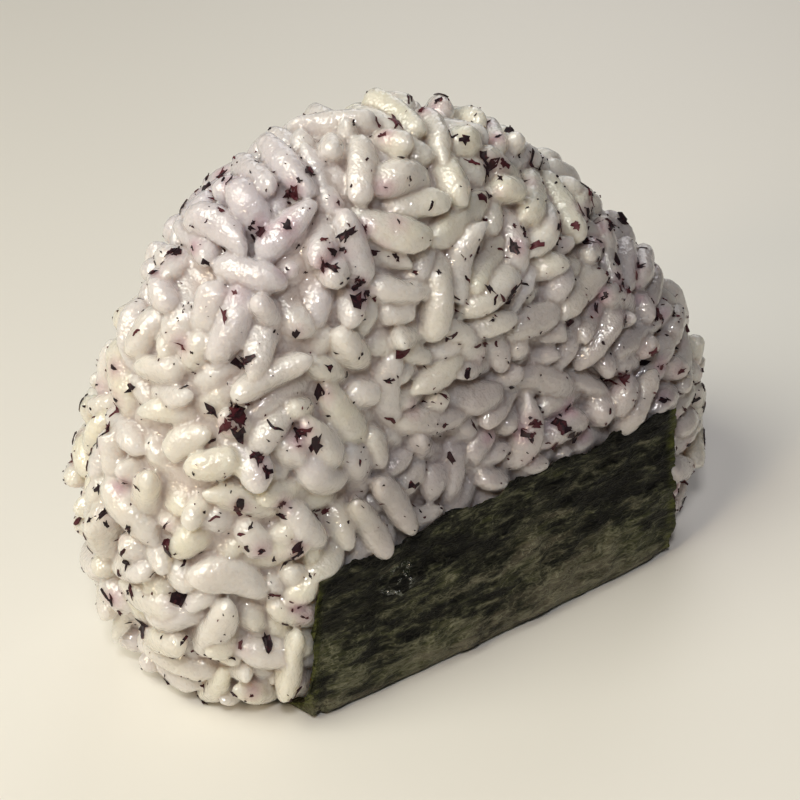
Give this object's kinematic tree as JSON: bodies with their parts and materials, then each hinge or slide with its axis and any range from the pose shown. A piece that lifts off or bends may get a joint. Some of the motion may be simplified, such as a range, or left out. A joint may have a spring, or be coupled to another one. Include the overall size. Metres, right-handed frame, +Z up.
{
  "type": "onigiri rice ball",
  "caption": "Hand-pressed rounded-triangle rice ball dotted with red shiso flakes, with a strip of nori folded under its flat base and up both faces.",
  "frame": {"origin": "on the table, under the middle of the ball's bounding box", "axes": "+X along the triangle's base, +Y from the front face to the back face, +Z up towards the rounded top corner"},
  "size_m": [0.0849, 0.0384, 0.0642],
  "materials": {
    "rice": "satin",
    "nori": "satin"
  },
  "bodies": {
    "root": {"rice_ball": "rice", "nori_strip": "nori"}
  },
  "joints": []
}
